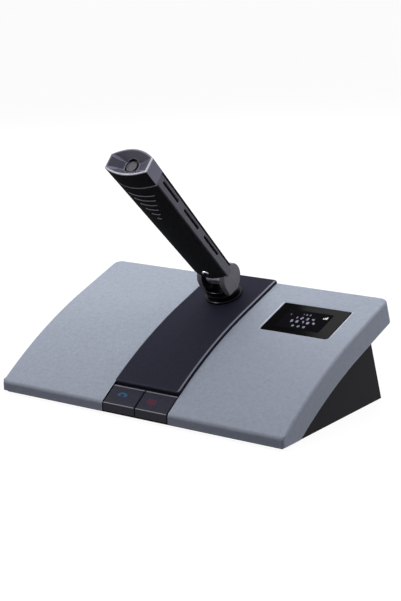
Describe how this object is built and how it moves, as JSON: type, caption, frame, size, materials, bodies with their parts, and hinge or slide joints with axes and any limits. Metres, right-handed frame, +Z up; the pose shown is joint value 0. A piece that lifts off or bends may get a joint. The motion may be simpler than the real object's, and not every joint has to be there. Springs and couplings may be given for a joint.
{
  "type": "conference delegate unit",
  "caption": "Desk unit with a curved wedge base, keys at the front edge, a small display and a flat microphone arm that tilts and turns in a forked joint.",
  "frame": {"origin": "on the desk, under the middle of the unit's bounding box, which is the middle of the top cover", "axes": "+Z up, -Y towards the user, +X along the wide front edge, to the user's right"},
  "size_m": [0.2, 0.122, 0.1536],
  "materials": {
    "cover_paint": "fine-textured grey-blue paint over moulded plastic",
    "housing": "fine-textured black moulding",
    "panel": "satin blue-black moulding",
    "key": "satin dark grey moulding",
    "display_glass": "polished smoked acrylic",
    "display": "display module",
    "rubber": "matt black rubber",
    "steel": "plated steel",
    "board": "green glass-fibre board",
    "battery": "lithium cell in a blue sleeve",
    "gloss_black": "polished black moulding",
    "fork": "satin mid-grey moulding",
    "arm_dark": "satin black moulding",
    "strip": "satin grey moulding",
    "cap": "satin dark grey moulding with a polished rim",
    "cloth": "black acoustic cloth",
    "nylon": "natural nylon"
  },
  "bodies": {
    "base": {"top_cover": "cover_paint", "lower_housing": "housing", "battery_hatch": "housing", "hatch_screw": "steel", "battery_pack": "battery", "main_board": "board", "radio_module": "steel", "front_left_foot": "rubber", "front_right_foot": "rubber", "rear_left_foot": "rubber", "rear_right_foot": "rubber", "case_front_left_screw": "steel", "case_front_right_screw": "steel", "case_rear_left_screw": "steel", "case_rear_right_screw": "steel", "centre_panel": "panel", "front_fascia": "housing", "key_board": "board", "left_switch": "gloss_black", "right_switch": "gloss_black", "display_window": "display_glass", "display_module": "display", "power_switch": "steel", "charging_socket": "gloss_black", "charging_pin": "steel", "base_ring": "gloss_black"},
    "left_key_body": {"left_key": "key"},
    "right_key_body": {"right_key": "key"},
    "power_slider": {"power_knob": "gloss_black"},
    "turntable": {"swivel_cup": "gloss_black", "swivel_washer": "nylon", "swivel_nut": "steel", "left_cheek": "fork", "right_cheek": "fork", "left_cheek_screw": "steel", "right_cheek_screw": "steel", "hinge_pin": "steel", "left_brake_washer": "nylon", "right_brake_washer": "nylon"},
    "arm": {"arm_knuckle": "gloss_black", "arm_front_shell": "arm_dark", "arm_rear_shell": "arm_dark", "left_side_strip": "strip", "right_side_strip": "strip", "left_slot_mesh": "cloth", "right_slot_mesh": "cloth", "head_cap": "cap", "capsule_grille": "cap", "mic_capsule": "steel", "capsule_sleeve": "rubber", "arm_board": "board", "arm_screw": "steel"}
  },
  "joints": [
    {"name": "left_key_press", "type": "slide", "parent": "base", "child": "left_key_body", "axis": [0, 0.5655, -0.8248], "range_m": [0, 0.0006], "stiffness_N_per_m": 300, "springref_m": -0.001},
    {"name": "right_key_press", "type": "slide", "parent": "base", "child": "right_key_body", "axis": [0, 0.5655, -0.8248], "range_m": [0, 0.0006], "stiffness_N_per_m": 300, "springref_m": -0.001},
    {"name": "power_slide", "type": "slide", "parent": "base", "child": "power_slider", "axis": [1, 0, 0], "range_m": [0, 0.003]},
    {"name": "arm_turn", "type": "hinge", "parent": "base", "child": "turntable", "pos_m": [0, 0.03355, 0.05378], "axis": [0, -0.3239, 0.9461], "range_deg": [-90, 90]},
    {"name": "arm_tilt", "type": "hinge", "parent": "turntable", "child": "arm", "pos_m": [0, 0.0281, 0.06692], "axis": [1, 0, 0], "range_deg": [-50, 58]}
  ]
}
